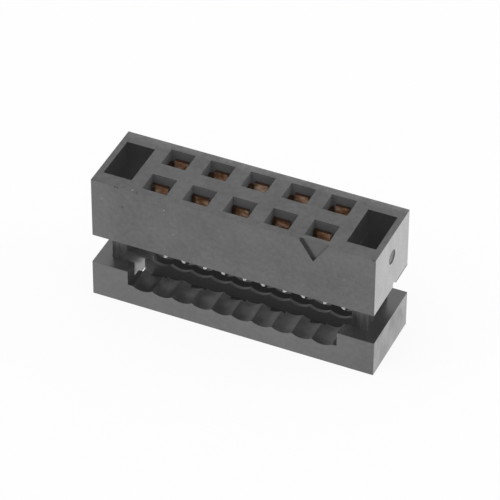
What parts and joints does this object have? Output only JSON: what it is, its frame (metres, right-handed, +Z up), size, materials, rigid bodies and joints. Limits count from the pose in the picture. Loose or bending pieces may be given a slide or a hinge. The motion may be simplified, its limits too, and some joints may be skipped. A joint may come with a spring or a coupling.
{
  "type": "idc socket",
  "caption": "Ribbon-cable socket: a housing with rows of square pin holes and forked contacts, standing open on a waved cover with latch posts.",
  "frame": {"origin": "centre of the cover's underside, the face that the open socket stands on", "axes": "+X along the rows of contacts, +Y across them, away from the side with the sunk triangle mark, +Z up to the mating face"},
  "size_m": [0.0178, 0.005, 0.0085],
  "materials": {
    "black_plastic": "moulded, fine satin, glass-filled",
    "contact_metal": "stamped copper alloy, gold flash at the top, tin at the forks"
  },
  "bodies": {
    "housing": {"housing": "black_plastic", "contact_01": "contact_metal", "contact_02": "contact_metal", "contact_03": "contact_metal", "contact_04": "contact_metal", "contact_05": "contact_metal", "contact_06": "contact_metal", "contact_07": "contact_metal", "contact_08": "contact_metal", "contact_09": "contact_metal", "contact_10": "contact_metal"},
    "cover": {"cover": "black_plastic"}
  },
  "joints": [
    {"name": "cover_close", "type": "slide", "parent": "housing", "child": "cover", "axis": [0, 0, 1], "range_m": [0, 0.00203]}
  ]
}
